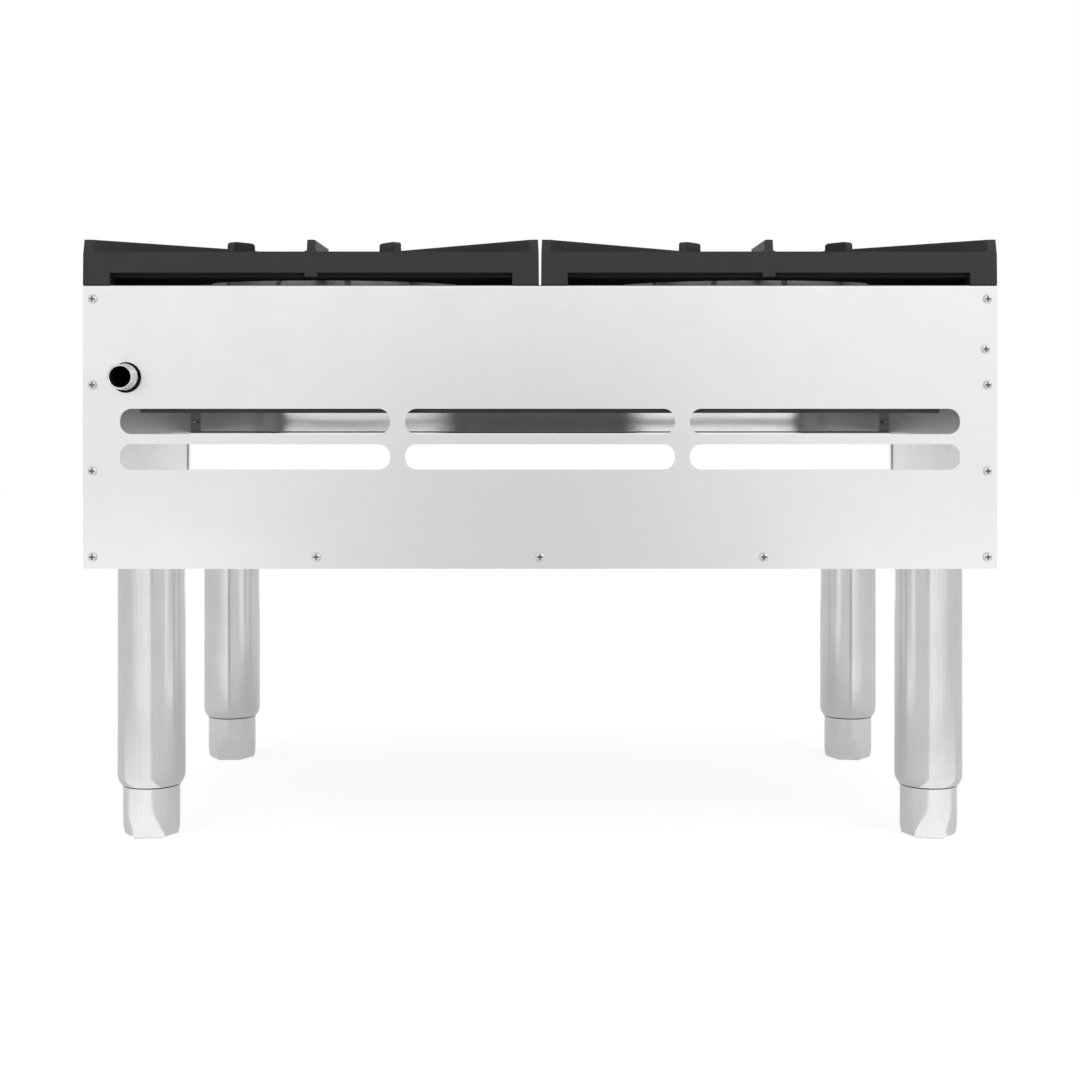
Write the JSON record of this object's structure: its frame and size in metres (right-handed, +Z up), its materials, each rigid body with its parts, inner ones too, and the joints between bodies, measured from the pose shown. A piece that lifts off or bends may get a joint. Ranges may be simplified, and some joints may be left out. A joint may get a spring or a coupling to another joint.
{
  "type": "stock pot range",
  "caption": "Low two-section gas stock pot range: cast top grates over ring burners, slotted steel body, drip tray, round legs with screw feet.",
  "frame": {"origin": "centre of the bounding box on the floor, under the feet", "axes": "+Z up, -Y towards the front with the knobs, +Y towards the rear panel with the gas inlet, +X the end with the gas inlet"},
  "size_m": [0.9196, 0.643, 0.609],
  "materials": {
    "brushed_stainless": "brushed",
    "polished_stainless": "polished",
    "aluminised_steel": "satin",
    "black_cast_iron": "matte black",
    "burner_cast_iron": "rough grey",
    "brass": "machined",
    "knob_plastic": "fine grain",
    "chrome_trim": "bright",
    "zinc_pipe": "bright zinc",
    "pipe_black": "black oxide",
    "aluminium_tube": "drawn",
    "leg_steel": "brushed",
    "foot_steel": "turned",
    "zinc_steel": "zinc plated"
  },
  "bodies": {
    "frame": {"rear_panel": "brushed_stainless", "side_panel_left": "brushed_stainless", "side_panel_right": "brushed_stainless", "control_panel": "polished_stainless", "front_lower_rail": "polished_stainless", "center_divider": "aluminised_steel", "base_channel_rear": "aluminised_steel", "base_channel_front": "brushed_stainless", "burner_support_front": "aluminised_steel", "burner_support_rear": "aluminised_steel", "tray_runner_left": "aluminised_steel", "tray_runner_right": "aluminised_steel", "outer_burner_left": "burner_cast_iron", "inner_burner_left": "burner_cast_iron", "outer_burner_right": "burner_cast_iron", "inner_burner_right": "burner_cast_iron", "gas_valve_1": "brass", "gas_valve_2": "brass", "gas_valve_3": "brass", "gas_valve_4": "brass", "knob_bezels": "chrome_trim", "orifice_hoods": "brass", "inlet_pipe": "zinc_pipe", "inlet_elbow": "pipe_black", "manifold_pipe": "pipe_black", "manifold_cap": "pipe_black", "manifold_brackets": "aluminised_steel", "pilot_valves": "brass", "pilot_tubes": "aluminium_tube", "pilot_tips": "brass", "leg_rear_left": "leg_steel", "leg_rear_right": "leg_steel", "leg_front_left": "leg_steel", "leg_front_right": "leg_steel", "foot_inserts": "zinc_steel", "leg_plates": "aluminised_steel", "leg_nuts": "zinc_steel", "rear_panel_screws": "chrome_trim", "side_panel_screws": "chrome_trim"},
    "knob_1": {"knob_1": "knob_plastic", "valve_stem_1": "brass"},
    "air_shutter_1": {"air_shutter_1": "aluminised_steel"},
    "knob_2": {"knob_2": "knob_plastic", "valve_stem_2": "brass"},
    "air_shutter_2": {"air_shutter_2": "aluminised_steel"},
    "knob_3": {"knob_3": "knob_plastic", "valve_stem_3": "brass"},
    "air_shutter_3": {"air_shutter_3": "aluminised_steel"},
    "knob_4": {"knob_4": "knob_plastic", "valve_stem_4": "brass"},
    "air_shutter_4": {"air_shutter_4": "aluminised_steel"},
    "drip_tray": {"drip_tray": "brushed_stainless"},
    "grate_left": {"grate_left": "black_cast_iron"},
    "grate_right": {"grate_right": "black_cast_iron"},
    "foot_rear_left": {"foot_rear_left": "foot_steel"},
    "foot_rear_right": {"foot_rear_right": "foot_steel"},
    "foot_front_left": {"foot_front_left": "foot_steel"},
    "foot_front_right": {"foot_front_right": "foot_steel"}
  },
  "joints": [
    {"name": "knob_1_turn", "type": "hinge", "parent": "frame", "child": "knob_1", "pos_m": [0.2771, -0.2895, 0.505], "axis": [0, -1, 0], "range_deg": [0, 90]},
    {"name": "knob_2_turn", "type": "hinge", "parent": "frame", "child": "knob_2", "pos_m": [0.1811, -0.2895, 0.505], "axis": [0, -1, 0], "range_deg": [0, 90]},
    {"name": "knob_3_turn", "type": "hinge", "parent": "frame", "child": "knob_3", "pos_m": [-0.1811, -0.2895, 0.505], "axis": [0, -1, 0], "range_deg": [0, 90]},
    {"name": "knob_4_turn", "type": "hinge", "parent": "frame", "child": "knob_4", "pos_m": [-0.2771, -0.2895, 0.505], "axis": [0, -1, 0], "range_deg": [0, 90]},
    {"name": "air_shutter_1_turn", "type": "hinge", "parent": "frame", "child": "air_shutter_1", "pos_m": [0.2771, -0.1896, 0.505], "axis": [0, -1, 0], "range_deg": [0, 90]},
    {"name": "air_shutter_2_turn", "type": "hinge", "parent": "frame", "child": "air_shutter_2", "pos_m": [0.1811, -0.1896, 0.505], "axis": [0, -1, 0], "range_deg": [0, 90]},
    {"name": "air_shutter_3_turn", "type": "hinge", "parent": "frame", "child": "air_shutter_3", "pos_m": [-0.1811, -0.1896, 0.505], "axis": [0, -1, 0], "range_deg": [0, 90]},
    {"name": "air_shutter_4_turn", "type": "hinge", "parent": "frame", "child": "air_shutter_4", "pos_m": [-0.2771, -0.1896, 0.505], "axis": [0, -1, 0], "range_deg": [0, 90]},
    {"name": "drip_tray_slide", "type": "slide", "parent": "frame", "child": "drip_tray", "axis": [0, -1, 0], "range_m": [0, 0.4]},
    {"name": "grate_left_lift", "type": "slide", "parent": "frame", "child": "grate_left", "axis": [0, 0, 1], "range_m": [0, 0.1]},
    {"name": "grate_right_lift", "type": "slide", "parent": "frame", "child": "grate_right", "axis": [0, 0, 1], "range_m": [0, 0.1]},
    {"name": "foot_rear_left_adjust", "type": "slide", "parent": "frame", "child": "foot_rear_left", "axis": [0, 0, -1], "range_m": [-0.008, 0.03]},
    {"name": "foot_rear_right_adjust", "type": "slide", "parent": "frame", "child": "foot_rear_right", "axis": [0, 0, -1], "range_m": [-0.008, 0.03]},
    {"name": "foot_front_left_adjust", "type": "slide", "parent": "frame", "child": "foot_front_left", "axis": [0, 0, -1], "range_m": [-0.008, 0.03]},
    {"name": "foot_front_right_adjust", "type": "slide", "parent": "frame", "child": "foot_front_right", "axis": [0, 0, -1], "range_m": [-0.008, 0.03]}
  ]
}
